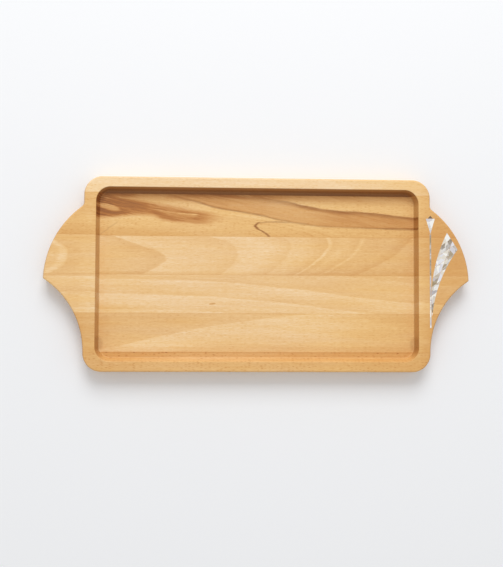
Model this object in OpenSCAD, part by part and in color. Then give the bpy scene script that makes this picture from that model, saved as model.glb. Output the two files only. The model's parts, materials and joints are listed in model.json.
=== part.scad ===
// Serving tray: six edge-glued beech staves, routed to a shallow tray with an ear
// at each end, and a mother-of-pearl inlay let into the right-hand ear.
// Millimetres. +X runs along the tray to the inlaid ear, +Y to the back, +Z up.
// The origin is on the underside, at the middle of the tray.

/* [Board] */
// Length of the rectangular body, without the ears
body_l = 367; // [320:1:440]
// Width of one whole stave; the tray is five of them from front to back
board_w = 41; // [38:1:46]
// Width of the narrow stave at the back; its neighbour takes up the difference
back_w = 17; // [14:0.5:24]
// Thickness of the board
board_t = 20; // [17:0.5:26]
// Radius of the body's four corners, seen from above
corner_r = 19.5; // [12:0.5:28]

/* [Recess] */
// Width of the rim at the two ends
rim_end = 12.5; // [8:0.5:20]
// Width of the rim along the front and the back
rim_long = 11; // [8:0.5:18]
// Depth of the recess below the rim
recess_d = 10; // [6:0.5:12]
// How far the sloping wall runs inwards on its way down
wall_run = 3; // [1:0.5:5]
// Radius of the recess's corners at the rim
recess_r = 15; // [8:0.5:20]

/* [Ears] */
// Reach of an ear's tip beyond the body's end
ear_reach = 41.5; // [36:0.5:50]
// Place of the tip, measured from the tray's centre line (negative is to the front)
tip_y = -5.5; // [-20:0.5:0]
// Radius of the ear's bulging back edge
ear_r = 98.5; // [92:0.5:110]
// Centre line of that edge's circle
ear_arc_y = -8.5; // [-20:0.5:-6]
// Fillet where the bulging edge meets the body's end
ear_fillet_r = 6; // [2:0.5:10]

/* [Inlay] */
// Depth of the pockets in the ear
pocket_d = 1.4; // [1:0.1:3]
// Thickness of the shell pieces
shell_t = 1.2; // [0.8:0.1:2]
// Resin joint between neighbouring shell pieces
joint = 0.25; // [0.15:0.05:0.5]
// Width of the thin stem
stem_w = 1.4; // [1:0.1:2.5]
// Shell slips that make up the stem
stem_slips = 9; // [4:1:12]
// Rows of shell tiles in the curved blade
blade_rows = 9; // [6:1:12]

/* [Hidden] */
$fn = 96;
eps = 0.01;

// Four wide staves between two narrow ones
stave_count = 6;
half_l = body_l / 2;
half_w = (stave_count - 1) * board_w / 2;
// Place of the glue line in front of stave i, numbered from the back
function glue_y(i) = half_w - (i == 1 ? back_w : (i - 0.5) * board_w);
// Far enough to clear the whole tray on any side
reach = body_l;

// Ear: a bulging back edge and a hollow front edge that meet at the tip. The hollow
// edge runs into the body's end at the last glue line
tip_x = half_l + ear_reach;
ear_cx = tip_x - sqrt(pow(ear_r, 2) - pow(tip_y - ear_arc_y, 2));
sweep_end_y = glue_y(stave_count - 1);
sweep_r = (pow(ear_reach, 2) + pow(tip_y - sweep_end_y, 2)) / (2 * ear_reach);
// The fillet's circle bites a hair into both edges, so that they cross cleanly
fillet_bite = 0.02;
fillet_x = half_l + ear_fillet_r - fillet_bite;
fillet_gap = ear_r + ear_fillet_r - fillet_bite;
fillet_y = ear_arc_y + sqrt(pow(fillet_gap, 2) - pow(fillet_x - ear_cx, 2));

// Inlay, in a frame whose origin is on the line of the body's end, at mid width
wedge_top_y = 61;
wedge_tip_y = 44.7;
wedge_w = 9.6;
wedge_split_y = 50.5;
cap_w = 5.6;
cap_h = 3;
stem_top_y = 44.2;
stem_end_y = -55.5;
// The blade springs from the stem: each edge leaves it at a small angle
blade_x = stem_w / 2 + joint;
blade_end_y = -47;
blade_back = [18, 46];
blade_tip = [29.4, 28.2];
inner_foot_y = -18;
inner_lean = 3;
outer_foot_y = -54;
outer_lean = 1.5;
// Tiles: parallel joints that rise outwards, and a seam up the middle
row_tilt = 35;
row_from = -49;
row_to = 34;
row_pitch = (row_to - row_from) / blade_rows;
seam_foot = [blade_x + 0.9, -20];
seam_head = (blade_back + blade_tip) / 2;
seam_angle = atan2(seam_head[1] - seam_foot[1], seam_head[0] - seam_foot[0]);
// The rows above the seam's foot are in two halves, apart from the narrow last row
function is_split(i) = i < blade_rows && row_from + (i - 1) * row_pitch > seam_foot[1];
whole_rows = [for (i = [1 : blade_rows]) if (!is_split(i)) i];
split_rows = [for (i = [1 : blade_rows]) if (is_split(i)) i];

// --- Board -----------------------------------------------------------------

// A rectangle with round corners, centred on the origin
module rounded_rect(half_x, half_y, r) {
    square([2 * half_x, 2 * (half_y - r)], center = true);
    square([2 * (half_x - r), 2 * half_y], center = true);
    for (x = [-1, 1], y = [-1, 1])
        translate([x * (half_x - r), y * (half_y - r)]) circle(r);
}

// The right-hand ear: inside the bulging circle, outside the hollow one
module ear() {
    difference() {
        intersection() {
            translate([ear_cx, ear_arc_y]) circle(ear_r);
            translate([half_l - ear_reach / 2, sweep_end_y]) square([2 * ear_reach, reach]);
        }
        translate([half_l + sweep_r, sweep_end_y]) circle(sweep_r);
    }
    ear_fillet();
}

// The small fillet between the body's end and the bulging edge
module ear_fillet() {
    // A point well inside the bulging edge, on the line between the two centres
    k = 1 - 1.5 * ear_fillet_r / fillet_gap;
    inside_x = ear_cx + k * (fillet_x - ear_cx);
    inside_y = ear_arc_y + k * (fillet_y - ear_arc_y);
    difference() {
        polygon([
            [half_l - ear_fillet_r, inside_y],
            [inside_x, inside_y],
            [fillet_x, fillet_y],
            [half_l - ear_fillet_r, fillet_y]
        ]);
        translate([fillet_x, fillet_y]) circle(ear_fillet_r);
    }
}

module outline() {
    rounded_rect(half_l, half_w, corner_r);
    ear();
    mirror([1, 0]) ear();
}

// The recess: its half sizes and its corner radius all shrink by wall_run on the way down
module recess() {
    half_x = half_l - rim_end;
    half_y = half_w - rim_long;
    flare = wall_run / recess_d;
    over = 1;
    top = over * flare;
    translate([0, 0, board_t - recess_d]) {
        rotate([90, 0, 0])
            linear_extrude(2 * (half_y - recess_r), center = true) wall_profile(half_x, top, over);
        rotate([90, 0, 90])
            linear_extrude(2 * (half_x - recess_r), center = true) wall_profile(half_y, top, over);
        for (x = [-1, 1], y = [-1, 1])
            translate([x * (half_x - recess_r), y * (half_y - recess_r)])
                cylinder(h = recess_d + over, r1 = recess_r - wall_run, r2 = recess_r + top);
    }
}

module wall_profile(half, top, over) {
    polygon([
        [-half + wall_run, 0],
        [half - wall_run, 0],
        [half + top, recess_d + over],
        [-half - top, recess_d + over]
    ]);
}

// Staves are numbered from the back
module stave(i) {
    back_y = i == 1 ? half_w + eps : glue_y(i - 1);
    front_y = i == stave_count ? -half_w - eps : glue_y(i);
    shade = [0.82, 0.69, 0.8, 0.83, 0.8, 0.77][i - 1];
    color([shade, shade * 0.76, shade * 0.5])
        difference() {
            intersection() {
                linear_extrude(board_t) outline();
                translate([-reach, front_y, -eps]) cube([2 * reach, back_y - front_y, board_t + 1]);
            }
            recess();
            if (i > 1 && i < stave_count)
                translate([half_l, 0, board_t - pocket_d]) linear_extrude(pocket_d + 1) pocket_outline();
        }
}

// --- Inlay -----------------------------------------------------------------

// Radius of a circle that leaves the stem's line at an angle of lean from its
// direction and then passes through a point that is dx out and dy up from there
function bow_r(dx, dy, lean) = (dx * dx + dy * dy) / (2 * (dx * cos(lean) - dy * sin(lean)));

module bow(foot_y, lean, through) {
    r = bow_r(through[0] - blade_x, through[1] - foot_y, lean);
    translate([blade_x + r * cos(lean), foot_y - r * sin(lean)]) circle(r, $fn = 360);
}

module blade_outline() {
    along = (blade_tip - blade_back) / 2;
    difference() {
        intersection() {
            bow(inner_foot_y, inner_lean, blade_back);
            polygon([
                [blade_x, blade_end_y],
                [blade_tip[0] + along[0], blade_end_y],
                blade_tip + along,
                blade_back - along,
                [blade_x, blade_back[1] - along[1]]
            ]);
        }
        bow(outer_foot_y, outer_lean, blade_tip);
    }
}

module wedge_outline() {
    polygon([[-wedge_w / 2, wedge_top_y], [0, wedge_tip_y], [wedge_w / 2, wedge_top_y]]);
}

module cap_outline() {
    polygon([
        [-cap_w / 2, wedge_top_y + joint],
        [cap_w / 2, wedge_top_y + joint],
        [0, wedge_top_y + joint + cap_h]
    ]);
}

module pocket_outline() {
    translate([-blade_x, stem_end_y - joint]) square([2 * blade_x, wedge_tip_y + 2 - stem_end_y]);
    translate([-cap_w / 2, wedge_top_y - joint]) square([cap_w, 2 * joint]);
    wedge_outline();
    cap_outline();
    blade_outline();
}

// Lifts a flat piece of shell to its place, with its face level with the ear
module shell(shade) {
    color([shade, shade, shade * 0.97])
        translate([half_l, 0, board_t - shell_t]) linear_extrude(shell_t) children();
}

module inlay_cap() {
    shell(0.5) cap_outline();
}

// The wedge is two pieces with a level joint between them
module wedge_piece(low_y, high_y) {
    shell(0.93)
        intersection() {
            wedge_outline();
            translate([-wedge_w, low_y]) square([2 * wedge_w, high_y - low_y]);
        }
}

module stem_slip(i) {
    pitch = (stem_top_y - stem_end_y) / stem_slips;
    shell(0.85 + 0.05 * (i % 3))
        translate([-stem_w / 2, stem_top_y - i * pitch]) square([stem_w, pitch - joint]);
}

// One row of the blade, between two joints that rise outwards
module row_band(i) {
    rise = tan(row_tilt);
    low = row_from + (i - 1) * row_pitch + joint / 2;
    high = low + row_pitch - joint;
    span = 2 * blade_tip[0];
    translate([blade_x, 0]) polygon([
        [-span, low - span * rise],
        [span, low + span * rise],
        [span, high + span * rise],
        [-span, high - span * rise]
    ]);
}

// The half of the blade on one side of the seam
module seam_side(side) {
    long = 4 * blade_tip[0];
    translate(seam_foot) rotate(seam_angle)
        translate([-long, side == "in" ? joint / 2 : -long - joint / 2]) square([2 * long, long]);
}

module blade_tile(i, side) {
    shell(0.8 + 0.06 * (i % 3) + (side == "out" ? 0.02 : 0))
        intersection() {
            blade_outline();
            row_band(i);
            if (side != "whole") seam_side(side);
        }
}

// Everything in the pockets that isn't shell: the bed under the pieces and the joints
module inlay_resin() {
    color([0.45, 0.36, 0.27])
        difference() {
            translate([half_l, 0, board_t - pocket_d]) linear_extrude(pocket_d) pocket_outline();
            all_shell(board_t - shell_t, 1);
        }
}

// The outlines of all the pieces of shell as one solid, for cutting the resin
module all_shell(z, over) {
    translate([half_l, 0, z]) linear_extrude(shell_t + over) {
        cap_outline();
        difference() {
            wedge_outline();
            translate([-wedge_w, wedge_split_y - joint / 2]) square([2 * wedge_w, joint]);
        }
        for (i = [1 : stem_slips]) {
            pitch = (stem_top_y - stem_end_y) / stem_slips;
            translate([-stem_w / 2, stem_top_y - i * pitch]) square([stem_w, pitch - joint]);
        }
        for (i = [1 : blade_rows])
            intersection() {
                blade_outline();
                row_band(i);
                if (is_split(i)) union() {
                    seam_side("in");
                    seam_side("out");
                }
            }
    }
}

// --- Output ----------------------------------------------------------------

for (i = [1 : stave_count])
    stave(i);
inlay_resin();
inlay_cap();
wedge_piece(wedge_split_y + joint / 2, wedge_top_y);  // wedge_head
wedge_piece(wedge_tip_y - eps, wedge_split_y - joint / 2);  // wedge_point
for (i = [1 : stem_slips])
    stem_slip(i);
for (i = whole_rows)
    blade_tile(i, "whole");
for (i = split_rows, side = ["in", "out"])
    blade_tile(i, side);
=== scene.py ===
"""Serving tray: the looks of its six beech staves and of its mother-of-pearl inlay.

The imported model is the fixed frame. Every stave is replaced by a finer one with eased
edges, and the inlay keeps its CAD pieces and gets its materials here.
"""

import json
import math
from collections import namedtuple

import bmesh
import bpy
import numpy as np
from bpy.props import FloatProperty, FloatVectorProperty, PointerProperty
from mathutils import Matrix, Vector


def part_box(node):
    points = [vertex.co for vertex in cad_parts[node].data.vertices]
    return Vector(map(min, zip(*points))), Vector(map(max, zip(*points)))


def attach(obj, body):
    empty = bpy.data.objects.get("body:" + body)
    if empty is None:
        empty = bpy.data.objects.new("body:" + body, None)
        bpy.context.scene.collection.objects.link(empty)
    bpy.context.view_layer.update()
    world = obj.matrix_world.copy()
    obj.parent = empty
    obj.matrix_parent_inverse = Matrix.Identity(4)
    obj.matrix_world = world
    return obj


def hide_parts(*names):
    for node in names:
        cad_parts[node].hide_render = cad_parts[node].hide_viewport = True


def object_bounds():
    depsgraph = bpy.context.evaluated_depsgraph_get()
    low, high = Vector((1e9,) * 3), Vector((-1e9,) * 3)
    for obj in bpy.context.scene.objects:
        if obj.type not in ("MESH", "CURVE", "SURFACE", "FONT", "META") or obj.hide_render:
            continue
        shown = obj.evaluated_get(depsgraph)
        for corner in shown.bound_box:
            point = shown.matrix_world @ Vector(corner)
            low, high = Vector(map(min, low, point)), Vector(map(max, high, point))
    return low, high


bl_info = {
    "name": "Inlaid Serving Tray",
    "version": (1, 0, 0),
    "blender": (4, 5, 0),
    "location": "View3D > Sidebar > Tray",
    "description": "Builds a beech serving tray with a shell inlay around its packed model",
    "category": "Object",
}

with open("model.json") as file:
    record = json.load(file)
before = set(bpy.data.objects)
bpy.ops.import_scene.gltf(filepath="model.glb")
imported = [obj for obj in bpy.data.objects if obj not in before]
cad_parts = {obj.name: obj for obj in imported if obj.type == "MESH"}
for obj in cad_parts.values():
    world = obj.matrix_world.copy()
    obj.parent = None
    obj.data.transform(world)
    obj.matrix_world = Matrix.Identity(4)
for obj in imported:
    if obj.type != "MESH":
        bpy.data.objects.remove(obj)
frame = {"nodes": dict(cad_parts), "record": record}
CAD_LOW, CAD_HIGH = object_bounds()
MM = 0.001
PER_METRE = 1000.0

# --- What the frame says ------------------------------------------------------

STAVES = [f"stave_{i}" for i in range(1, 7)]
THICKNESS = CAD_HIGH.z
HALF_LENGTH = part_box("stave_1")[1].x
HALF_WIDTH = CAD_HIGH.y
TIP_X = CAD_HIGH.x
GLUE_LINES = [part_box(name)[0].y for name in STAVES[:-1]]
FLOOR_Z = next(m["pos_m"][2] for m in frame["record"]["mounts"] if m["name"] == "recess_floor")
SHELL_NODES = sorted(n for n in frame["nodes"] if n.startswith(("stem_", "blade_", "wedge_")))


# --- Settings -----------------------------------------------------------------


def length(name, description, default):
    """A size in metres with a name and a description."""
    return FloatProperty(name=name, description=description, default=default, unit="LENGTH", precision=4)


def turn(name, description, degrees):
    """An angle, given in degrees and kept in radians."""
    angle = math.radians(degrees)
    return FloatProperty(name=name, description=description, default=angle, unit="ROTATION")


def colour(name, description, default):
    """A colour given as the red, green and blue of the screen, from 0 to 255."""
    linear = [((c / 255 + 0.055) / 1.055) ** 2.4 for c in default]
    return FloatVectorProperty(
        name=name, description=description, default=linear, subtype="COLOR", size=3, min=0, max=1
    )


class TrayShape(bpy.types.PropertyGroup):
    """Radii and widths of the tray's outline, edges and recess."""

    corner_r: length("Corner radius", "Radius of the body's corners, seen from above", 0.0195)
    ear_r: length("Ear radius", "Radius of an ear's bulging edge", 0.0985)
    ear_arc_y: length("Ear circle", "Centre line of the bulging edge's circle", -0.0085)
    tip_y: length("Tip place", "Distance of the ears' tips from the centre line", -0.0055)
    tip_r: length("Tip radius", "Rounding of an ear's tip, seen from above", 0.0024)
    ear_fillet_r: length("Ear fillet", "Fillet where the bulging edge meets the body", 0.006)
    edge_r: length("Edge radius", "Rounding of the outer edges", 0.0018)
    rim_end: length("End rim", "Width of the rim at the two ends", 0.0125)
    rim_long: length("Long rim", "Width of the rim along the front and the back", 0.011)
    recess_r: length("Recess radius", "Radius of the recess's corners at the rim", 0.015)
    wall_run: length("Wall run", "How far the sloping wall runs inwards", 0.003)
    rim_edge_r: length("Rim edge radius", "Rounding where the rim turns down into the recess", 0.0008)
    cove_r: length("Cove radius", "Hollow where the wall meets the floor", 0.0022)


class BeechColours(bpy.types.PropertyGroup):
    """Colours of oiled beech, from the palest growth to the darkest heartwood."""

    pale: colour("Pale", "Early growth in the palest staves", (251, 226, 191))
    honey: colour("Honey", "Common colour of the wood", (238, 198, 143))
    tan: colour("Tan", "Late growth", (222, 173, 114))
    orange: colour("Orange", "Warm patches", (206, 147, 86))
    # Amber and plum also paint the shade along the recess's back wall in the second stave
    amber: colour("Amber", "Thin heartwood", (196, 128, 62))
    brown: colour("Brown", "Darkest growth", (160, 82, 32))
    plum: colour("Plum", "Purplish heartwood", (134, 82, 46))
    dark: colour("Dark", "Dark lines of the heartwood", (140, 74, 18))


class ShellColours(bpy.types.PropertyGroup):
    """Colours of the inlay."""

    white: colour("White", "Brightest mother-of-pearl", (246, 245, 240))
    silver: colour("Silver", "Grey mother-of-pearl", (205, 200, 196))
    umber: colour("Umber", "Darkest mother-of-pearl", (138, 122, 98))
    straw: colour("Straw", "Yellow-brown patches", (196, 176, 138))
    lilac: colour("Lilac", "Blue-violet patches", (198, 198, 224))
    cap: colour("Cap", "Dark shell of the cap", (120, 98, 78))
    filler: colour("Filler", "Filler between the pieces", (206, 168, 122))


class Studio(bpy.types.PropertyGroup):
    """Camera, light and floor."""

    camera_place: FloatVectorProperty(
        name="Camera place", description="Where the camera hangs over the tray",
        default=(-0.0607, -0.0530, 0.9649), subtype="TRANSLATION", unit="LENGTH",
    )
    camera_turn: FloatVectorProperty(
        name="Camera turn", description="How the camera is turned about X, Y and Z",
        default=[math.radians(a) for a in (2.619, -3.233, 0.241)], subtype="EULER", unit="ROTATION",
    )
    lens: FloatProperty(
        name="Lens", description="Focal length, in millimetres", default=57.14, unit="CAMERA"
    )
    sky: FloatProperty(
        name="Room light", description="Strength of the room's even light", default=0.63, subtype="FACTOR"
    )
    key: FloatProperty(
        name="Window light", description="Power of the soft light", default=37.0, unit="POWER"
    )
    key_reach: length("Window distance", "How far the soft light stands from the tray", 2.6)
    key_height: turn("Window height", "Angle of the soft light above the floor", 43.0)
    key_size: length("Window size", "Width and height of the soft light", 1.45)
    floor: colour("Floor", "Colour of the paper under the tray", (245, 246, 248))


# --- Outline ------------------------------------------------------------------

# Steps along the long edges, the body's corners, the ears' two arcs, their tips and fillets
EDGE_STEPS = 60
CORNER_STEPS = 40
ARC_STEPS = 110
TIP_STEPS = 14
FILLET_STEPS = 20


def arc_rows(centre, radius, start, end, count, hollow=False):
    """Rows of x, y and the normal along a circle: centre + radius * (cos a, sin a) for a
    from start to end. The normal points away from the centre, or to it where hollow."""
    angle = np.linspace(start, end, count)
    ray = np.column_stack([np.cos(angle), np.sin(angle)])
    return np.hstack([np.asarray(centre) + radius * ray, -ray if hollow else ray])


def line_rows(start, end, normal, count):
    """Rows of x, y and the normal along a straight line, in even steps."""
    step = np.linspace(0, 1, count)[:, None]
    points = np.asarray(start) * (1 - step) + np.asarray(end) * step
    return np.hstack([points, np.tile(normal, (count, 1))])


def circles_meet(c1, r1, c2, r2):
    """The point where two circles cross, on the right of the way from c1 to c2: along the
    line of centres by a, then square to it by the root of r1 squared less a squared."""
    c1, c2 = np.asarray(c1), np.asarray(c2)
    gap = np.linalg.norm(c2 - c1)
    along = (c2 - c1) / gap
    a = (r1**2 - r2**2 + gap**2) / (2 * gap)
    h = math.sqrt(max(r1**2 - a**2, 0))
    return c1 + a * along + h * np.array([along[1], -along[0]])


def heading(a, b):
    """Angle of the direction from point a to point b."""
    return math.atan2(b[1] - a[1], b[0] - a[0])


def half_outline(s):
    """Rows of x, y, normal x, normal y and recess normal x, y, from the front's middle
    round the right-hand ear to the back's middle.

    The ear's bulging edge and its hollow edge are circles that meet at the tip, which
    has a small round of its own, and the bulging edge meets the body in a fillet."""
    cx, cy = HALF_LENGTH - s.corner_r, HALF_WIDTH - s.corner_r
    last_glue = GLUE_LINES[-1]
    reach = TIP_X - HALF_LENGTH
    ear = np.array([TIP_X - math.sqrt(s.ear_r**2 - (s.tip_y - s.ear_arc_y) ** 2), s.ear_arc_y])
    sweep_r = (reach**2 + (s.tip_y - last_glue) ** 2) / (2 * reach)
    sweep = np.array([HALF_LENGTH + sweep_r, last_glue])
    tip = circles_meet(sweep, sweep_r + s.tip_r, ear, s.ear_r - s.tip_r)
    if tip[0] < HALF_LENGTH:
        raise ValueError("the ear's two edges don't meet at a tip")
    fillet_x = HALF_LENGTH + s.ear_fillet_r
    fillet_y = ear[1] + math.sqrt((s.ear_r + s.ear_fillet_r) ** 2 - (fillet_x - ear[0]) ** 2)
    fillet = np.array([fillet_x, fillet_y])
    right, up, down = (1.0, 0.0), (0.0, 1.0), (0.0, -1.0)
    fillet_start = heading(fillet, ear) + 2 * math.pi
    parts = [
        (line_rows((0, -HALF_WIDTH), (cx, -HALF_WIDTH), down, EDGE_STEPS), down),
        (arc_rows((cx, -cy), s.corner_r, -math.pi / 2, 0, CORNER_STEPS), None),
        (line_rows((HALF_LENGTH, -cy), (HALF_LENGTH, last_glue), right, 3), right),
        (arc_rows(sweep, sweep_r, math.pi, heading(sweep, tip), ARC_STEPS, hollow=True), right),
        (arc_rows(tip, s.tip_r, heading(tip, sweep), heading(ear, tip), TIP_STEPS), right),
        (arc_rows(ear, s.ear_r, heading(ear, tip), heading(ear, fillet), ARC_STEPS), right),
        (arc_rows(fillet, s.ear_fillet_r, fillet_start, math.pi, FILLET_STEPS, hollow=True), right),
        (line_rows((HALF_LENGTH, fillet_y), (HALF_LENGTH, cy), right, 4), right),
        (arc_rows((cx, cy), s.corner_r, 0, math.pi / 2, CORNER_STEPS), None),
        (line_rows((cx, HALF_WIDTH), (0, HALF_WIDTH), up, EDGE_STEPS), up),
    ]
    rows = [
        np.hstack([part, part[:, 2:4] if normal is None else np.tile(normal, (len(part), 1))])[:-1]
        for part, normal in parts
    ]
    return np.vstack(rows + [[0, HALF_WIDTH, 0, 1, 0, 1]])


def full_outline(s):
    """The right half, then its mirror image run backwards, as one closed loop."""
    half = half_outline(s)
    other = half[::-1][1:-1] * [-1, 1, -1, 1, -1, 1]
    return np.vstack([half, other])


# --- Board --------------------------------------------------------------------


def quarter(radius, start, end, steps=6):
    """Offsets (cos a, sin a) times radius along an arc, as two arrays."""
    angle = np.radians(np.linspace(start, end, steps + 1))
    return radius * np.cos(angle), radius * np.sin(angle)


def outer_profile(s):
    """Pairs (inset from the outline, height) from the underside round the edge to the rim."""
    r, support = s.edge_r, 0.2 * MM
    x0, z0 = quarter(r, -90, 0)
    x1, z1 = quarter(r, 0, 90)
    inset = np.concatenate([[r + support], r - x0, [0.0], r - x1, [r + support]])
    height = np.concatenate([[0.0], r + z0, [THICKNESS / 2], THICKNESS - r + z1, [THICKNESS]])
    return np.column_stack([inset, height])


def recess_profile(s):
    """Pairs (distance in from the recess's rim line, height), from the rim over its
    rounded edge, down the sloping wall and round the cove to the floor.

    The two roundings are arcs tangent to the flats, whose touch points lie
    radius * tan(half the turn) from the corner."""
    depth = THICKNESS - FLOOR_Z
    slope = math.degrees(math.atan2(s.wall_run, depth))
    half_turn = math.tan(math.radians((90 - slope) / 2))
    touch = s.rim_edge_r * half_turn
    foot = s.wall_run + s.cove_r * half_turn
    x0, z0 = quarter(s.rim_edge_r, 90, slope)
    x1, z1 = quarter(s.cove_r, 180 + slope, 270)
    support = 0.3 * MM
    into = np.concatenate([[-touch - support], x0 - touch, x1 + foot, [foot + support]])
    height = np.concatenate(
        [[THICKNESS], z0 + THICKNESS - s.rim_edge_r, z1 + FLOOR_Z + s.cove_r, [FLOOR_Z]]
    )
    return np.column_stack([into, height])


def board_grid(s):
    """The whole board's surface as rings of points, from the middle of the underside out
    round the edge, over the rim and down into the recess to the middle of its floor.

    An outer ring is outline - inset * normal. A recess ring is core + (radius - into) *
    normal, where the core is the rectangle of the recess's corner centres. Each end
    closes on a straight spine along the tray."""
    rows = full_outline(s)
    outline, normal, inner_normal = rows[:, 0:2], rows[:, 2:4], rows[:, 4:6]
    corner = np.array([HALF_LENGTH - s.corner_r, HALF_WIDTH - s.corner_r])
    core_half = np.array([HALF_LENGTH - s.rim_end, HALF_WIDTH - s.rim_long]) - s.recess_r
    core = np.clip(outline, -corner, corner) * core_half / corner
    spine = np.column_stack([np.clip(core[:, 0], -HALF_WIDTH, HALF_WIDTH), np.zeros(len(core))])

    def ring(points, z):
        return np.column_stack([points, np.full(len(points), z)])

    rings = [ring(spine, 0.0)]
    rings += [ring(outline - inset * normal, z) for inset, z in outer_profile(s)]
    rings += [ring(core + (s.recess_r - into) * inner_normal, z) for into, z in recess_profile(s)]
    rings.append(ring(spine, FLOOR_Z))
    return np.array(rings)


def grid_mesh(name, rings):
    """A closed mesh from rings of points: quads between neighbouring rings."""
    count, around = rings.shape[:2]
    index = np.arange(count * around).reshape(count, around)
    after = np.roll(index, -1, axis=1)
    quads = np.stack([index[:-1], after[:-1], after[1:], index[1:]], axis=-1).reshape(-1, 4)
    mesh = bpy.data.meshes.new(name)
    mesh.from_pydata(rings.reshape(-1, 3), [], quads)
    return mesh


def tidy(bm):
    """Merges doubles, drops faces with no area and points every face outwards."""
    bmesh.ops.remove_doubles(bm, verts=bm.verts, dist=0.002 * MM)
    bmesh.ops.dissolve_degenerate(bm, edges=bm.edges, dist=0.001 * MM)
    bmesh.ops.recalc_face_normals(bm, faces=bm.faces)


def pocket_cutter():
    """The filler's underside drawn straight up past the rim: the shape of the pockets."""
    low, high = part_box("inlay_resin")
    bm = bmesh.new()
    bm.from_mesh(frame["nodes"]["inlay_resin"].data)
    bmesh.ops.remove_doubles(bm, verts=bm.verts, dist=0.001 * MM)
    above = [f for f in bm.faces if max(v.co.z for v in f.verts) > low.z + 0.01 * MM]
    bmesh.ops.delete(bm, geom=above, context="FACES")
    made = bmesh.ops.extrude_face_region(bm, geom=bm.faces[:])
    lifted = [v for v in made["geom"] if isinstance(v, bmesh.types.BMVert)]
    bmesh.ops.translate(bm, verts=lifted, vec=(0, 0, high.z - low.z + 1 * MM))
    bmesh.ops.recalc_face_normals(bm, faces=bm.faces)
    mesh = bpy.data.meshes.new("pocket")
    bm.to_mesh(mesh)
    bm.free()
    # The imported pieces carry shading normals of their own, which don't fit the pocket
    carried = mesh.attributes.get("custom_normal")
    if carried:
        mesh.attributes.remove(carried)
    return mesh


def cut(mesh, cutter_mesh):
    """The mesh less the cutter, by an exact boolean."""
    holder = bpy.data.objects.new("board", mesh)
    cutter = bpy.data.objects.new("cutter", cutter_mesh)
    for o in (holder, cutter):
        bpy.context.scene.collection.objects.link(o)
    boolean = holder.modifiers.new("pocket", "BOOLEAN")
    boolean.operation = "DIFFERENCE"
    boolean.solver = "EXACT"
    boolean.object = cutter
    evaluated = holder.evaluated_get(bpy.context.evaluated_depsgraph_get())
    result = bpy.data.meshes.new_from_object(evaluated)
    if len(result.polygons) < len(mesh.polygons):
        raise RuntimeError("the pockets could not be cut")
    for o in (holder, cutter):
        bpy.data.objects.remove(o)
    return result


def slice_mesh(mesh, name, front_y, back_y):
    """The part of the mesh between two planes square to Y, with the cuts closed."""
    bm = bmesh.new()
    bm.from_mesh(mesh)
    for y, side in ((front_y, -1), (back_y, 1)):
        everything = bm.verts[:] + bm.edges[:] + bm.faces[:]
        bmesh.ops.bisect_plane(
            bm, geom=everything, dist=0.001 * MM,
            plane_co=(0, y, 0), plane_no=(0, side, 0), clear_outer=True,
        )
        rim = [e for e in bm.edges if len(e.link_faces) == 1]
        bmesh.ops.holes_fill(bm, edges=rim, sides=0)
    tidy(bm)
    piece = bpy.data.meshes.new(name)
    bm.to_mesh(piece)
    bm.free()
    piece.shade_smooth()
    piece.set_sharp_from_angle(angle=math.radians(30))
    return piece


# --- Node helper --------------------------------------------------------------


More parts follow.
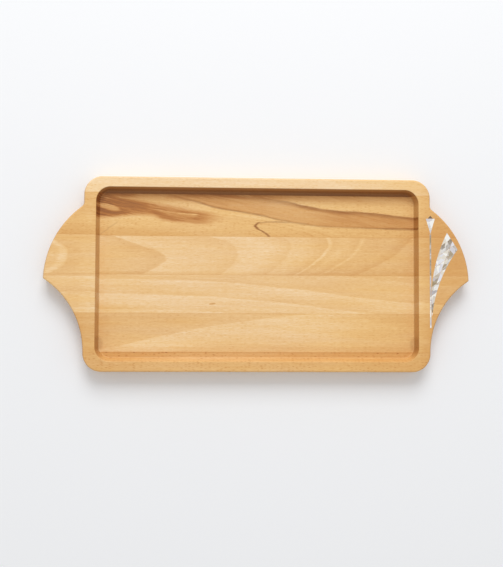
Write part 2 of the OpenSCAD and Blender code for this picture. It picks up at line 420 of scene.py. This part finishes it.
class Nodes:
    """Builds one material's node tree. Every method takes sockets or plain numbers."""

    def __init__(self, name):
        self.material = bpy.data.materials.new(name)
        self.material.use_nodes = True
        self.tree = self.material.node_tree
        self.tree.nodes.clear()
        self.shader = self.tree.nodes.new("ShaderNodeBsdfPrincipled")
        output = self.tree.nodes.new("ShaderNodeOutputMaterial")
        self.tree.links.new(self.shader.outputs["BSDF"], output.inputs["Surface"])

    def put(self, socket, value):
        if isinstance(value, bpy.types.NodeSocket):
            self.tree.links.new(value, socket)
        else:
            socket.default_value = value

    def add(self, kind, inputs=(), **settings):
        """A node with its settings, and its inputs given by name or number."""
        made = self.tree.nodes.new("ShaderNode" + kind)
        for key, value in settings.items():
            setattr(made, key, value)
        for key, value in dict(inputs).items():
            self.put(made.inputs[key], value)
        return made

    def math(self, operation, *values, clamp=False):
        made = self.add("Math", enumerate(values), operation=operation, use_clamp=clamp)
        return made.outputs[0]

    def plus(self, a, b):
        return self.math("ADD", a, b)

    def minus(self, a, b):
        return self.math("SUBTRACT", a, b)

    def times(self, a, b):
        return self.math("MULTIPLY", a, b)

    def size(self, value):
        return self.math("ABSOLUTE", value)

    def step(self, value, low, high):
        """0 below low, 1 above high and a smooth rise between; low may be above high."""
        flip = low > high
        sockets = {"Value": value, "From Min": min(low, high), "From Max": max(low, high)}
        sockets |= {"To Min": 1.0, "To Max": 0.0} if flip else {"To Min": 0.0, "To Max": 1.0}
        return self.add("MapRange", sockets, interpolation_type="SMOOTHSTEP").outputs["Result"]

    def curve(self, value, points, low=0.0, high=1.0, handles="AUTO"):
        """A curve through given (value, result) points."""
        xs = [p[0] for p in points]
        first, span = xs[0], xs[-1] - xs[0]
        made = self.add("FloatCurve", {"Value": self.math("DIVIDE", self.minus(value, first), span)})
        dots = made.mapping.curves[0].points
        for _ in points[2:]:
            dots.new(0.5, 0.5)
        for dot, (x, y) in zip(dots, points):
            dot.location = ((x - first) / span, (y - low) / (high - low))
            dot.handle_type = handles
        made.mapping.extend = "HORIZONTAL"
        made.mapping.update()
        return self.plus(self.times(made.outputs[0], high - low), low)

    def vector(self, x, y, z):
        return self.add("CombineXYZ", {0: x, 1: y, 2: z}).outputs[0]

    def noise(self, vector, detail, roughness):
        """Noise about 1 across, from 0 to 1, at the scale of the vector that is given."""
        sockets = {"Vector": vector, "Scale": 1.0, "Detail": detail, "Roughness": roughness}
        return self.add("TexNoise", sockets).outputs[0]

    def mix(self, factor, a, b, blend="MIX"):
        """Mixes two colours."""
        made = self.add("Mix", {"Factor": factor}, data_type="RGBA", blend_type=blend)
        self.put(made.inputs[6], a)
        self.put(made.inputs[7], b)
        return made.outputs[2]

    def ramp(self, value, stops):
        """A colour ramp through (place, colour) stops."""
        made = self.add("ValToRGB", {0: value})
        items = made.color_ramp.elements
        for _ in stops[2:]:
            items.new(0.5)
        for item, (place, shade) in zip(items, stops):
            item.position = place
            item.color = (*shade, 1.0)
        return made.outputs[0]


# --- Beech --------------------------------------------------------------------

# Every figure below is a tone from 0, the darkest growth, to 1, the palest, worked out
# from the place in the board in millimetres; z is measured up from the recess's floor.


def in_recess(n, x, y, z, top=9.8):
    """1 on the floor and the walls of the recess, 0 on the rim, the sides and the underside."""
    height = n.times(n.step(z, top, top - 1.1), n.step(z, -2.0, -0.5))
    return n.times(height, n.times(n.step(n.size(x), 176, 173), n.step(n.size(y), 93, 92)))


def plain_figure_with_recess_shade(n, x, y, z):
    """Back stave: pale and even, with painted shade on the wall and floor where the recess cuts into it.
    """
    drift = n.times(n.step(x, -120, 220), 0.08)
    # The part in the recess is darkened as painted shade of the rim and the back wall
    return n.minus(n.minus(0.90, drift), n.times(in_recess(n, x, y, z), 0.38))


def heart_figure(n, x, y, z):
    """Second stave: golden wood, more orange along its front; heart_marks are laid over it."""
    across = n.curve(y, [(38, 0.62), (45, 0.67), (52, 0.74), (62, 0.77), (74, 0.79), (88, 0.77)])
    arc = n.plus(x, n.times(n.math("POWER", n.size(n.minus(y, 41)), 1.5), 1.1))
    arcs = n.curve(
        arc, [(40, 0), (58, -0.02), (62, -0.06), (65, 0), (76, 0), (80, -0.05), (84, 0), (110, 0)], -1, 1
    )
    return n.plus(n.minus(across, n.times(n.step(x, 0, 200), 0.06)), arcs)


def arch_figure(n, x, y, z):
    """Third stave: nested arches that open to the left. Each arch is where
    x + bow * (y - middle) squared is constant. The middle dips and then climbs to the
    right, and where x is about -160 to -70 the arches' front legs are pinched straight."""
    middle = n.curve(
        x, [(-225, 21), (-190, 20), (-140, 12), (-100, 14.5), (0, 26), (120, 40), (225, 52)], 0, 60
    )
    off = n.minus(y, middle)
    front = n.step(off, 0.5, -0.5)
    squared = n.times(off, off)
    bowed = n.times(squared, n.minus(0.072, n.times(front, 0.03)))
    pinched = n.times(n.step(x, -50, -95), n.step(x, -170, -140))
    pinch = n.times(n.times(n.size(off), front), n.times(pinched, 1.5))
    ring = n.plus(n.plus(x, n.plus(bowed, pinch)), n.times(z, 1.5))
    seam = n.times(n.step(y, 5.0, 0.5), n.times(in_recess(n, x, y, z), 0.09))
    tone = n.curve(
        ring,
        [
            (-240, 0.78), (-196, 0.80), (-191, 0.90), (-185.5, 0.88), (-184, 0.74), (-165, 0.78),
            (-125, 0.75), (-105, 0.69), (-99.5, 0.68), (-97, 0.84), (-84, 0.83), (-55, 0.79),
            (-28, 0.76), (-22.5, 0.74), (-20, 0.83), (4, 0.85), (28, 0.78), (34, 0.74), (37, 0.80),
            (58, 0.77), (71, 0.70), (75, 0.67), (77, 0.88), (81, 0.69), (92, 0.76), (103, 0.69),
            (109, 0.66), (111.5, 0.80), (116, 0.67), (145, 0.68), (163, 0.58), (166, 0.70), (300, 0.62),
        ],
        handles="VECTOR",
    )
    return n.minus(tone, seam)


def straight_figure(n, x, y, z):
    """Fourth stave: straight bands that drift to the front towards the right."""
    drift = n.curve(
        x, [(-225, 0), (-120, 0), (-60, 1.5), (0, 6.0), (50, 11), (100, 17), (165, 24), (225, 31)], 0, 40
    )
    ring = n.minus(n.plus(y, drift), n.times(z, 0.2))
    speck_x = n.math("DIVIDE", n.plus(x, 47.0), 4.0)
    speck_y = n.minus(n.plus(y, 30.5), n.times(speck_x, 0.3))
    speck = n.step(n.plus(n.times(speck_x, speck_x), n.times(speck_y, speck_y)), 1.0, 0.3)
    tone = n.curve(
        ring,
        [
            (-46, 0.83), (-40, 0.85), (-37.8, 0.86), (-36.8, 0.77), (-30, 0.81), (-24, 0.84),
            (-21.8, 0.89), (-20.6, 0.75), (-17.5, 0.79), (-12, 0.82), (-5.6, 0.86), (-4.4, 0.72),
            (2, 0.76), (9, 0.77), (15.2, 0.80), (16.4, 0.73), (40, 0.73),
        ],
        handles="VECTOR",
    )
    return n.minus(tone, n.times(speck, 0.35))


def slanting_figure(n, x, y, z):
    """Fifth stave: a boundary climbs across it from the front left to the back; the wood
    behind it is more orange, and so is the right-hand end."""
    boundary = n.curve(
        x,
        [
            (-225, -84), (-150, -76), (-120, -69), (-100, -64.5), (-60, -56), (-20, -50),
            (30, -43.5), (225, -28),
        ],
        -90, -20,
    )
    above = n.plus(n.minus(y, boundary), n.times(z, 0.3))
    tone = n.curve(
        above,
        [
            (-60, 0.70), (-35, 0.76), (-12, 0.82), (-0.8, 0.85), (0.6, 0.71), (8, 0.70),
            (20, 0.67), (45, 0.68),
        ],
        handles="VECTOR",
    )
    second = n.curve(
        x, [(-225, -20), (90, -36), (108, -41), (125, -48), (150, -53), (225, -58)], -60, -10
    )
    patch = n.times(n.step(n.minus(y, second), -3.0, 1.0), 0.06)
    ends = n.plus(n.times(n.step(x, 60, 190), 0.10), n.times(n.step(x, -130, -175), 0.06))
    front_band = n.times(n.step(y, -75.6, -76.4), 0.07)
    return n.minus(n.minus(tone, patch), n.plus(ends, front_band))


def front_figure(n, x, y, z):
    """Front stave: tan, and a deep orange floor along the glue line."""
    floor = n.times(in_recess(n, x, y, z, 2.0), n.step(y, -90, -86))
    seam = n.times(n.step(y, -83.6, -82.4), floor)
    corners = n.times(n.step(n.size(x), 60, 150), 0.07)
    return n.minus(n.minus(0.70, corners), n.plus(n.times(floor, 0.10), n.times(seam, 0.14)))


def streak(n, distance, width):
    """1 on a line, fading out to 0 a width away from it."""
    return n.step(n.size(distance), width, 0.1 * width)


def lip(n, below, width):
    """1 on a line, sharp on the side above it and fading out over a width below it."""
    return n.times(n.step(below, -0.9, 0.2), n.step(below, width, 0.0))


def spot(n, x, y, centre, radii):
    """1 in the middle of an ellipse, fading out to 0 at its rim."""
    dx = n.math("DIVIDE", n.minus(x, centre[0]), radii[0])
    dy = n.math("DIVIDE", n.minus(y, centre[1]), radii[1])
    return n.step(n.plus(n.times(dx, dx), n.times(dy, dy)), 1.0, 0.25)


def between(n, y, low, high, soft):
    """1 between two paths, with soft edges."""
    return n.times(n.step(n.minus(y, low), -soft, soft), n.step(n.minus(high, y), -soft, soft))


def most(n, *values):
    """The greatest of the values."""
    top = values[0]
    for value in values[1:]:
        top = n.math("MAXIMUM", top, value)
    return top


def heart_patches_and_shade(n, x, y, first, second):
    """Strength of the broad brown patches of the second stave: one at the left, and one
    that lies between two lines, with painted shade along the recess's back wall. Their streaks
    run down to the right with the grain."""
    slant = n.plus(y, n.times(x, 0.19))
    coarse = n.noise(n.vector(n.times(x, 0.018), n.times(slant, 0.23), 3.0), 3.0, 0.6)
    thin = n.noise(n.vector(n.times(x, 0.03), n.times(slant, 0.9), 9.0), 3.0, 0.6)
    streaks = n.plus(n.times(n.step(coarse, 0.3, 0.66), 0.6), n.times(n.step(thin, 0.3, 0.7), 0.4))

    top = n.curve(
        x, [(-225, 92), (-165, 86), (-135, 80.5), (-100, 74.5), (-60, 67), (-30, 62), (225, 55)], 50, 95
    )
    bottom = n.curve(
        x, [(-225, 60), (-165, 60.5), (-120, 63), (-100, 58), (-75, 56), (-45, 57), (225, 60)], 50, 70
    )
    left = n.times(between(n, y, bottom, top, 3.4), n.step(x, -32, -66))
    strength = n.curve(
        x, [(-225, 0.6), (-165, 1.0), (-130, 0.9), (-100, 0.66), (-60, 0.66), (225, 0.4)]
    )
    left = n.times(left, n.times(strength, n.plus(0.35, n.times(streaks, 0.75))))
    island = spot(n, x, n.plus(y, n.times(n.plus(x, 158), 0.25)), (-158, 71), (14, 4.5))
    left = n.times(left, n.minus(1.0, n.times(island, 0.6)))
    flash = spot(n, x, n.plus(y, n.times(n.plus(x, 74), 0.09)), (-74, 64.5), (13, 1.0))
    left = n.times(left, n.minus(1.0, n.times(flash, 0.9)))
    lobe = n.times(spot(n, x, n.plus(y, n.times(n.plus(x, 78), 0.12)), (-78, 60), (36, 6)), 0.42)

    behind = n.times(n.step(n.minus(y, first), -0.4, 1.0), n.step(n.minus(second, y), -2.0, 2.5))
    strength = n.curve(
        x,
        [
            (-225, 0), (-110, 0.15), (-70, 0.42), (0, 0.36), (40, 0.30), (90, 0.42),
            (170, 0.40), (225, 0.1),
        ],
    )
    behind = n.times(behind, n.times(strength, n.plus(0.62, n.times(streaks, 0.45))))
    # Painted shade on the floor along the back wall of the recess, where the rim's shadow falls
    along = n.curve(
        x, [(-225, 0.9), (-150, 0.9), (-115, 0.5), (-85, 0.7), (-40, 0.75), (60, 0.5), (225, 0.5)]
    )
    shade_by_wall = n.times(n.step(y, 73, 86), n.times(along, n.plus(0.5, n.times(streaks, 0.5))))
    return most(n, left, lobe, behind, shade_by_wall)


def heart_lines(n, x, y, first, second):
    """Strength of the thin dark lines of the second stave."""
    rough = n.noise(n.vector(n.times(x, 0.05), n.times(y, 0.3), 5.0), 2.0, 0.6)
    one = n.curve(
        x,
        [
            (-225, 0), (-100, 0.1), (-70, 0.5), (-20, 0.6), (30, 0.5), (75, 0.36), (110, 0.42),
            (150, 0.75), (225, 0.2),
        ],
    )
    two = n.curve(
        x, [(-225, 0), (-20, 0.35), (30, 0.55), (60, 0.80), (110, 0.80), (170, 0.75), (225, 0.2)]
    )
    hook_x = n.curve(
        y, [(38, 16), (41, 12), (45, 8), (48, 3), (50.5, -1.6), (53, -3.6), (56, 0), (60, 10)], -10, 20
    )
    hook = n.times(streak(n, n.minus(x, hook_x), 2.8), n.step(n.size(n.minus(y, 48.5)), 8.6, 7.0))
    lid_y = n.curve(x, [(-225, 56), (-4, 55), (14, 57), (36, 56.6), (225, 50)], 45, 60)
    lid = n.times(streak(n, n.minus(y, lid_y), 1.5), n.times(n.step(x, -5, 1), n.step(x, 44, 26)))
    slant_y = n.plus(n.times(n.plus(x, 167), 0.76), 42)
    slant = n.times(streak(n, n.minus(y, slant_y), 1.6), n.step(x, -146, -152))
    lines = most(
        n,
        n.times(streak(n, n.minus(y, first), 1.8), one),
        n.times(lip(n, n.minus(second, y), 5.5), two),
        n.times(hook, 0.9),
        n.times(lid, 0.5),
        n.times(slant, 0.22),
    )
    return n.times(lines, n.plus(0.35, rough))


def heart_marks(n, x, y, z):
    """Strengths of the patches, which carry painted shade along the back wall, and of the lines
    of the dark heart in the second stave. Only a tenth of either shows outside the recess."""
    fray = n.noise(n.vector(n.times(x, 0.05), n.times(y, 0.5), n.times(z, 0.5)), 3.0, 0.6)
    y = n.plus(y, n.times(n.minus(fray, 0.5), 2.4))
    first = n.curve(
        x,
        [
            (-225, 96), (-110, 86), (-75, 79.5), (-40, 70.5), (0, 64.5), (25, 59), (50, 55),
            (80, 52.2), (120, 51), (225, 51),
        ],
        45, 100,
    )
    second = n.curve(
        x,
        [
            (-225, 92), (-60, 88), (0, 83), (35, 78), (50, 74.5), (80, 70), (120, 67.5),
            (170, 62.5), (225, 59),
        ],
        50, 100,
    )
    inside = n.plus(0.10, n.times(in_recess(n, x, y, z), 0.90))
    patches = n.times(heart_patches_and_shade(n, x, y, first, second), inside)
    return patches, n.times(heart_lines(n, x, y, first, second), inside)


# For each stave from the back: its figure and the figure's contrast, how strongly the
# small brown rays show, and how golden the wood is
Look = namedtuple("Look", "figure contrast rays golden")
STAVE_LOOKS = [
    Look(plain_figure_with_recess_shade, 1.0, 0.35, 0.05),
    Look(heart_figure, 1.0, 0.65, 1.00),
    Look(arch_figure, 0.95, 0.30, 0.25),
    Look(straight_figure, 0.85, 0.25, 0.15),
    Look(slanting_figure, 0.75, 0.35, 0.35),
    Look(front_figure, 1.0, 1.20, 0.55),
]


class Grain:
    """The place in one stave in millimetres, and noises stretched along its grain."""

    def __init__(self, n, number):
        self.n = n
        self.number = number
        self.seed = 37.0 * number
        metres = n.add("SeparateXYZ", {0: n.add("TexCoord").outputs["Object"]}).outputs
        self.x = n.times(metres[0], PER_METRE)
        self.y = n.times(metres[1], PER_METRE)
        self.z = n.times(n.minus(metres[2], FLOOR_Z), PER_METRE)
        self.wave = self.noise(0.012, 0.06, 3.0, 0.55)
        self.fibre = self.noise(0.030, 0.9)
        self.hair = self.noise(0.16, 2.4, 2.0, 0.6)
        # Slow waves and the fibres move the figure about, so that no line is ruled
        self.moved_x = n.plus(self.x, n.plus(n.times(self.wave, 12.0), n.times(self.fibre, 4.0)))
        self.moved_y = n.plus(self.y, n.plus(n.times(self.wave, 2.5), n.times(self.fibre, 1.2)))

    def noise(self, along, across, detail=3.0, roughness=0.6):
        """Noise from -0.5 to 0.5, so many waves to the millimetre along and across."""
        n = self.n
        shifted = n.plus(n.times(self.x, along), self.seed)
        place = n.vector(shifted, n.times(self.y, across), n.times(self.z, across))
        return n.minus(n.noise(place, detail, roughness), 0.5)


def stave_tone(n, g, look):
    """Tone of a stave: its figure, then broad areas, streaks, fibres and hairs, a hairline of
    glue at the joints, and darker ears, the right-hand one more so."""
    drawn = look.figure(n, g.moved_x, g.moved_y, g.z)
    tone = n.plus(n.times(n.minus(drawn, 0.77), look.contrast), 0.77)
    tone = n.plus(tone, n.times(g.noise(0.007, 0.06, 2.0, 0.5), 0.22))
    tone = n.plus(tone, n.times(g.noise(0.018, 0.45, 3.0, 0.6), 0.17))
    tone = n.plus(tone, n.times(g.fibre, 0.14))
    tone = n.plus(tone, n.times(g.hair, 0.46))
    for line in GLUE_LINES[max(g.number - 2, 0) : g.number]:
        tone = n.minus(tone, n.times(streak(n, n.minus(g.y, line * PER_METRE), 0.7), 0.10))
    right_ear = n.times(n.step(g.x, 168, 190), 0.13)
    left_ear = n.times(n.step(g.x, -175, -195), 0.05)
    return n.minus(tone, n.plus(right_ear, left_ear))


def rays(n, g):
    """Strength of the short brown rays: the cores of stretched cells, in some of the cells."""
    along = n.plus(n.times(g.x, 0.24), g.seed)
    stretched = n.vector(along, n.times(g.moved_y, 1.05), n.times(g.z, 1.05))
    cells = n.add("TexVoronoi", {"Vector": stretched, "Scale": 1.0})
    chosen = n.step(n.add("SeparateColor", {0: cells.outputs["Color"]}).outputs[0], 0.35, 0.8)
    return n.times(n.step(cells.outputs["Distance"], 0.48, 0.12), chosen)


def gild(n, g, wood, golden):
    """Golden areas in the pinkish wood, and more of them towards the ends of the recess."""
    ends = n.plus(n.times(n.step(g.x, -100, -185), 0.35), n.times(n.step(g.x, -10, 150), 0.55))
    drift = n.times(g.noise(0.010, 0.09, 2.0, 0.5), 1.8)
    gold = n.math("MULTIPLY", n.plus(n.plus(golden, ends), drift), 1.0, clamp=True)
    return n.mix(gold, wood, (1.0, 0.95, 0.77, 1.0), "MULTIPLY")


def lay_heart(n, g, wood, colours):
    """The dark heart of the second stave: amber where it is thin, plum where it is thick,
    with the dark lines over it. The patches hold painted shade along the back wall, which
    amber and plum paint too."""
    waved_x = n.plus(g.x, n.times(g.wave, 8.0))
    waved_y = n.plus(g.y, n.times(g.wave, 2.0))
    patches, lines = heart_marks(n, waved_x, waved_y, g.z)
    # Amber and plum here also paint the shade along the back wall
    wood = n.mix(n.math("MULTIPLY", patches, 1.7, clamp=True), wood, (*colours.amber, 1.0))
    wood = n.mix(n.times(n.step(patches, 0.3, 1.0), 0.75), wood, (*colours.plum, 1.0))
    return n.mix(lines, wood, (*colours.dark, 1.0))


def darken_end_grain(n, wood, facing):
    """End grain drinks more oil: darker where the surface faces along the tray."""
    ends = n.step(n.size(facing[0]), 0.35, 0.95)
    return n.mix(n.times(ends, 0.72), wood, (0.60, 0.45, 0.32, 1.0), "MULTIPLY")


def darken_front_corners(n, g, wood):
    """Darker spots on the recess's end walls and floor, near its front corners."""
    spots = spot(n, n.size(g.x), g.y, (169, -73.5), (7, 10))
    corner_darkening = n.times(spots, in_recess(n, g.x, g.y, g.z))
    return n.mix(n.times(corner_darkening, 0.4), wood, (0.62, 0.50, 0.42, 1.0), "MULTIPLY")


def paint_back_wall_shade(n, g, wood, facing):
    """Painted shade on the back wall of the recess, which faces away from the light, darkest at its foot.
    """
    # Painted shade: at the wall's foot and on the floor beside it, where the rim's shadow falls, and on
    # faces that look to the front, away from the light
    foot = n.times(in_recess(n, g.x, g.y, g.z), n.step(g.z, 6.5, 3.5))
    back_wall_shade = most(n, n.step(facing[1], -0.3, -0.85), foot)
    wood = n.mix(n.times(back_wall_shade, 0.8), wood, (0.50, 0.36, 0.25, 1.0), "MULTIPLY")
    return n.mix(n.times(foot, 0.55), wood, (0.50, 0.38, 0.30, 1.0), "MULTIPLY")


def beech(number, colours):
    """Oiled beech for one stave: its figure and rays, golden areas, darker end grain, darker
    spots at the recess's front corners and painted shade on its back wall, with a roughness
    and a bump that follow the grain."""
    look = STAVE_LOOKS[number - 1]
    n = Nodes(f"beech_{number}")
    g = Grain(n, number)
    ray = rays(n, g)
    tone = n.minus(stave_tone(n, g, look), n.times(ray, 0.30 * look.rays))
    stops = [colours.brown, colours.orange, colours.tan, colours.honey, colours.pale]
    wood = n.ramp(tone, list(zip((0.0, 0.3, 0.58, 0.78, 1.0), stops)))
    wood = gild(n, g, wood, look.golden)
    if number == 2:
        wood = lay_heart(n, g, wood, colours)
    facing = n.add("SeparateXYZ", {0: n.add("TexCoord").outputs["Normal"]}).outputs
    wood = darken_end_grain(n, wood, facing)
    if number == 5:
        wood = darken_front_corners(n, g, wood)
    if number == 1:
        # Painted shade on the recess's back wall and at its foot
        wood = paint_back_wall_shade(n, g, wood, facing)

    n.put(n.shader.inputs["Base Color"], wood)
    n.put(n.shader.inputs["Roughness"], n.plus(n.times(g.fibre, 0.25), 0.47))
    n.shader.inputs["Specular IOR Level"].default_value = 0.35
    height = n.minus(n.plus(n.times(g.fibre, 0.5), n.times(g.hair, 0.5)), n.times(ray, 0.5))
    bump = n.add("Bump", {"Height": height, "Strength": 0.25, "Distance": 0.05 * MM})
    n.put(n.shader.inputs["Normal"], bump.outputs[0])
    return n.material


# --- Inlay --------------------------------------------------------------------

# How bright each piece of shell is, by what it is, from 0 (grey-brown) to 1 (white): partly
# the shell's own tone and partly painted reflection, for how each piece catches the light
STEM_TONE_AND_REFLECTION = [0.10, 0.30, 0.05, 0.15, 0.55, 0.30, 0.70, 0.90, 0.70]
BLADE_TONE_AND_REFLECTION = {
    "blade_tile_1": 0.90,
    "blade_tile_2": 0.25,
    "blade_tile_3": 0.95,
    "blade_tile_4": 0.45,
    "blade_tile_5_in": 0.30,
    "blade_tile_5_out": 0.95,
    "blade_tile_6_in": 0.90,
    "blade_tile_6_out": 0.55,
    "blade_tile_7_in": 0.95,
    "blade_tile_7_out": 0.35,
    "blade_tile_8_in": 0.40,
    "blade_tile_8_out": 0.85,
    "blade_tile_9": 0.70,
}
WEDGE_TONE_AND_REFLECTION = 0.8


def shell_tone_and_reflection(node):
    """How bright a piece of shell is: partly its own tone and partly painted reflection."""
    if node.startswith("stem_slip_"):
        return STEM_TONE_AND_REFLECTION[int(node[len("stem_slip_"):]) - 1]
    return BLADE_TONE_AND_REFLECTION.get(node, WEDGE_TONE_AND_REFLECTION)


def nacre(name, number, light, colours):
    """Mother-of-pearl for one piece: facets of different brightness, each with silky bands
    bent by noise, from grey-brown over silver to white, with a touch of lilac and straw.
    The piece's brightness, light, is partly its own tone and partly painted reflection."""
    n = Nodes(name)
    sockets = {
        "Vector": n.add("TexCoord").outputs["Object"],
        "Rotation": (0.0, 0.0, math.radians(47.0 * number % 180.0)),
        "Scale": (PER_METRE,) * 3,
    }
    part = n.add("SeparateXYZ", {0: n.add("Mapping", sockets).outputs[0]}).outputs
    seed = 11.3 * number
    bend = n.noise(n.vector(n.plus(n.times(part[0], 0.22), seed), n.times(part[1], 0.22), 0.0), 2.0, 0.5)
    across = n.plus(n.times(part[1], 0.5), n.times(bend, 2.5))
    bands = n.noise(n.vector(n.plus(n.times(part[0], 0.1), seed), across, 0.0), 3.0, 0.55)
    facet_x = n.plus(n.times(part[0], 0.13), seed)
    facet_place = n.vector(facet_x, n.plus(n.times(part[1], 0.24), bend), 0.0)
    facets = n.add("TexVoronoi", {"Vector": facet_place, "Scale": 1.0}, feature="F1").outputs["Color"]
    facet = n.add("SeparateColor", {0: facets}).outputs
    # The brightness holds painted reflection as well as the shell's own tone
    brightness_and_reflection = n.plus(n.plus(light, n.times(n.minus(facet[0], 0.5), 0.8)), n.times(n.minus(bands, 0.5), 0.9))
    stops = [colours.umber, colours.silver, colours.white, colours.white]
    shell = n.ramp(brightness_and_reflection, list(zip((0.0, 0.45, 0.85, 1.0), stops)))
    tinted = n.mix(n.times(n.step(facet[1], 0.62, 0.75), 0.38), shell, (*colours.straw, 1.0))
    lilac = n.mix(n.times(n.step(facet[2], 0.6, 0.75), 0.42), tinted, (*colours.lilac, 1.0))
    n.put(n.shader.inputs["Base Color"], lilac)
    n.put(n.shader.inputs["Roughness"], n.plus(0.16, n.times(bands, 0.14)))
    n.shader.inputs["Coat Weight"].default_value = 0.3
    n.shader.inputs["Coat Roughness"].default_value = 0.08
    bump = n.add("Bump", {"Height": bands, "Strength": 0.2, "Distance": 0.05 * MM})
    n.put(n.shader.inputs["Normal"], bump.outputs[0])
    return n.material


def mottled(name, shade, roughness, grain_mm, depth=0.14, relief=0.1):
    """A plain finish with mottling in its colour and roughness, and in its surface."""
    n = Nodes(name)
    place = n.add("TexCoord").outputs["Object"]
    near = n.add("Mapping", {"Vector": place, "Scale": (PER_METRE / grain_mm,) * 3}).outputs[0]
    fine = n.noise(near, 3.0, 0.6)
    pale = tuple(min(c * (1 + depth), 1.0) for c in shade)
    deep = tuple(c * (1 - depth) for c in shade)
    n.put(n.shader.inputs["Base Color"], n.mix(fine, (*deep, 1.0), (*pale, 1.0)))
    n.put(n.shader.inputs["Roughness"], n.plus(roughness - 0.05, n.times(fine, 0.1)))
    if relief:
        bump = n.add("Bump", {"Height": fine, "Strength": relief, "Distance": 0.02 * MM})
        n.put(n.shader.inputs["Normal"], bump.outputs[0])
    return n.material


# --- Operators ----------------------------------------------------------------


class TRAY_OT_staves(bpy.types.Operator):
    """Makes the six staves as one board with eased edges, cut along its glue lines"""

    bl_idname = "tray.staves"
    bl_label = "Make the staves"

    def execute(self, context):
        s = context.scene.tray_shape
        whole = grid_mesh("board", board_grid(s))
        bm = bmesh.new()
        bm.from_mesh(whole)
        tidy(bm)
        bm.to_mesh(whole)
        bm.free()
        whole = cut(whole, pocket_cutter())
        beyond = HALF_WIDTH + 1 * MM
        edges = [beyond, *GLUE_LINES, -beyond]
        for number, node in enumerate(STAVES, 1):
            name = f"beech_{node}"
            piece = bpy.data.objects.new(name, slice_mesh(whole, name, edges[number], edges[number - 1]))
            context.scene.collection.objects.link(piece)
            piece.data.materials.clear()
            piece.data.materials.append(beech(number, context.scene.tray_beech))
            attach(piece, "root")
            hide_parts(node)
        return {"FINISHED"}


class TRAY_OT_inlay(bpy.types.Operator):
    """Gives every piece of the inlay its finish"""

    bl_idname = "tray.inlay"
    bl_label = "Finish the inlay"

    def execute(self, context):
        colours = context.scene.tray_shell
        for number, node in enumerate(SHELL_NODES):
            self.finish(node, nacre(f"nacre_{node}", number, shell_tone_and_reflection(node), colours), "shell")
        self.finish("inlay_cap", mottled("dark_shell", colours.cap, 0.3, 1.2), "dark_shell")
        self.finish("inlay_resin", mottled("filler", colours.filler, 0.4, 0.5), "resin")
        return {"FINISHED"}

    def finish(self, node, material, slot):
        piece = frame["nodes"][node]
        piece.data.materials.clear()
        piece.data.materials.append(material)


class TRAY_OT_studio(bpy.types.Operator):
    """Makes the floor, the light and the camera"""

    bl_idname = "tray.studio"
    bl_label = "Make the studio"

    def execute(self, context):
        s = context.scene.tray_studio
        scene = context.scene
        scene.view_settings.view_transform = "Standard"

        # The paper lies a hair below the tray, so that the two faces don't meet
        half = 6.0
        low = -0.2 * MM
        corners = [(-half, -half, low), (half, -half, low), (half, half, low), (-half, half, low)]
        mesh = bpy.data.meshes.new("paper_floor")
        mesh.from_pydata(corners, [], [(0, 1, 2, 3)])
        floor = bpy.data.objects.new("paper_floor", mesh)
        scene.collection.objects.link(floor)
        mesh.materials.append(mottled("paper", s.floor, 0.8, 400.0, 0.005, 0.0))

        world = bpy.data.worlds.new("room")
        world.use_nodes = True
        sky = world.node_tree.nodes["Background"]
        sky.inputs["Color"].default_value = (1.0, 1.0, 1.0, 1.0)
        sky.inputs["Strength"].default_value = s.sky
        scene.world = world

        window = bpy.data.lights.new("window", "AREA")
        window.size = s.key_size
        window.energy = s.key
        light = bpy.data.objects.new("window", window)
        back = s.key_reach * math.cos(s.key_height)
        up = s.key_reach * math.sin(s.key_height)
        light.location = (0.0, back, up)
        light.rotation_euler = Vector(light.location).to_track_quat("Z", "Y").to_euler()
        scene.collection.objects.link(light)

        camera = bpy.data.objects.new("camera", bpy.data.cameras.new("camera"))
        camera.data.lens = s.lens
        camera.location = s.camera_place
        camera.rotation_euler = s.camera_turn
        scene.collection.objects.link(camera)
        scene.camera = camera
        return {"FINISHED"}


class TRAY_PT_panel(bpy.types.Panel):
    """Lists what the tray is made of, with its sizes and colours"""

    bl_label = "Serving Tray"
    bl_idname = "TRAY_PT_panel"
    bl_space_type = "VIEW_3D"
    bl_region_type = "UI"
    bl_category = "Tray"

    def draw(self, context):
        for name, operator in GROUPS.items():
            box = self.layout.box()
            settings = getattr(context.scene, name)
            for key in settings.__annotations__:
                box.prop(settings, key)
            if operator:
                box.operator(operator)


GROUPS = {
    "tray_shape": "",
    "tray_beech": TRAY_OT_staves.bl_idname,
    "tray_shell": TRAY_OT_inlay.bl_idname,
    "tray_studio": TRAY_OT_studio.bl_idname,
}
SETTINGS = {
    "tray_shape": TrayShape,
    "tray_beech": BeechColours,
    "tray_shell": ShellColours,
    "tray_studio": Studio,
}
CLASSES = (*SETTINGS.values(), TRAY_OT_staves, TRAY_OT_inlay, TRAY_OT_studio, TRAY_PT_panel)


def register():
    for cls in CLASSES:
        bpy.utils.register_class(cls)
    for name, group in SETTINGS.items():
        setattr(bpy.types.Scene, name, PointerProperty(type=group))


def unregister():
    for name in SETTINGS:
        delattr(bpy.types.Scene, name)
    for cls in reversed(CLASSES):
        bpy.utils.unregister_class(cls)


def main():
    register()
    bpy.ops.tray.studio()
    bpy.ops.tray.staves()
    bpy.ops.tray.inlay()


if __name__ == "__main__":
    main()
